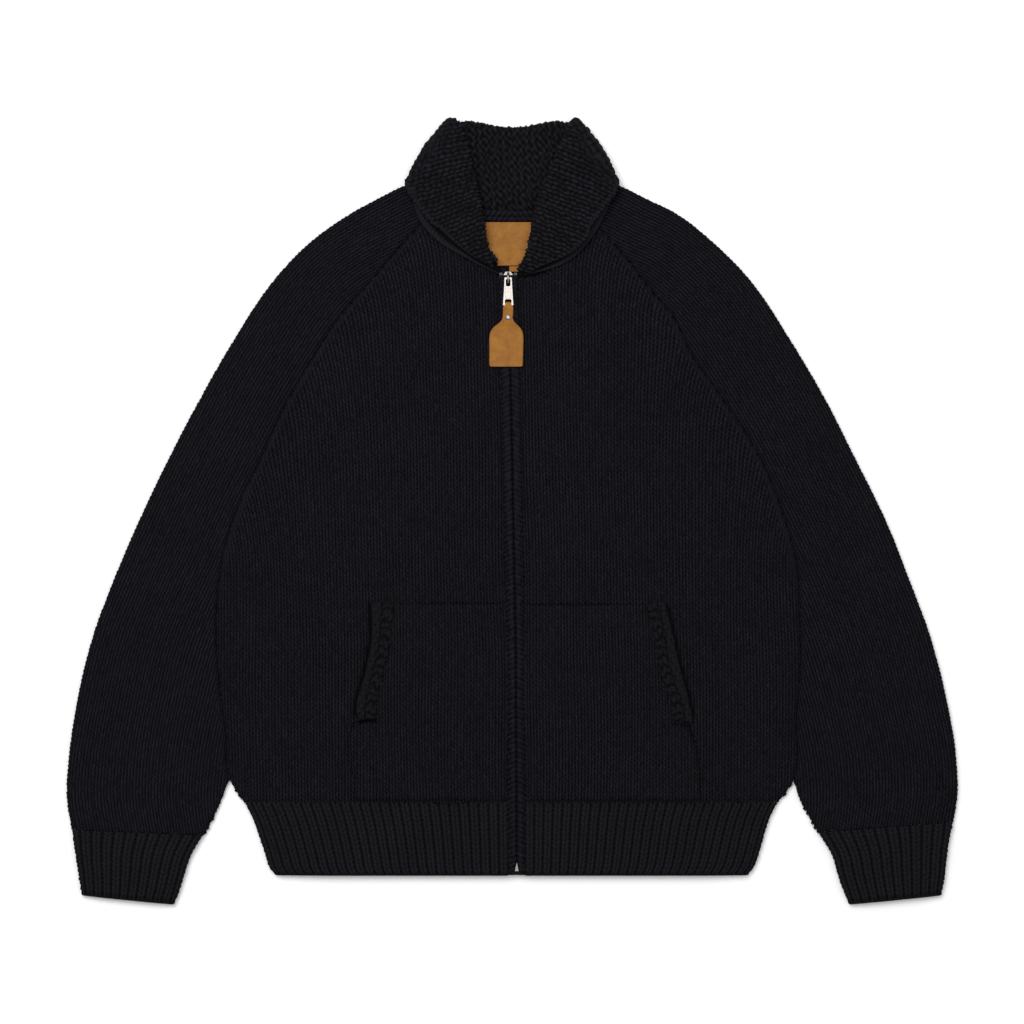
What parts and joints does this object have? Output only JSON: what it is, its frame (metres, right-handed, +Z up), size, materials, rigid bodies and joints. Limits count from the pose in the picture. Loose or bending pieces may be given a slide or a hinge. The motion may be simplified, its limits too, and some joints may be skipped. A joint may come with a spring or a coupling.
{
  "type": "cowichan cardigan",
  "caption": "Bulky hand-knit zipped cardigan with a shawl collar, raglan sleeves, ribbed hem and cuffs and slanted front pockets, laid flat on its back.",
  "frame": {"origin": "on the ground, under the middle of the garment", "axes": "the garment lies on its back: +X to the wearer's left, +Y from the hem to the collar, +Z up, away from the ground"},
  "size_m": [0.938, 0.8228, 0.024],
  "materials": {
    "wool": "bulky knitted wool, near black",
    "wool_rib": "ribbed wool, near black",
    "wool_collar": "ridged wool, near black",
    "zip_tape": "woven black zip tape",
    "leather": "tan vegetable-tanned leather",
    "metal": "polished nickel"
  },
  "bodies": {
    "garment": {"back_panel": "wool", "front_left": "wool", "front_right": "wool", "sleeve_left": "wool", "sleeve_right": "wool", "pocket_left": "wool", "pocket_right": "wool", "hem_back": "wool_rib", "hem_front_left": "wool_rib", "hem_front_right": "wool_rib", "cuff_left": "wool_rib", "cuff_right": "wool_rib", "placket_left": "wool_rib", "placket_right": "wool_rib", "pocket_welt_left": "wool_rib", "pocket_welt_right": "wool_rib", "collar": "wool_collar", "neck_band": "wool_collar", "zip_tape_left": "zip_tape", "zip_tape_right": "zip_tape", "neck_label": "leather", "size_tab": "leather", "zip_chain": "metal", "zip_slider": "metal", "zip_stop_left": "metal", "zip_stop_right": "metal", "zip_box": "metal"},
    "pull": {"zip_pull": "metal", "pull_tag": "leather", "pull_rivet": "metal"}
  },
  "joints": [
    {"name": "zip_pull", "type": "hinge", "parent": "garment", "child": "pull", "pos_m": [-0.0042, 0.24459, 0.0147], "axis": [-1, 0, 0], "range_deg": [0, 170]}
  ]
}
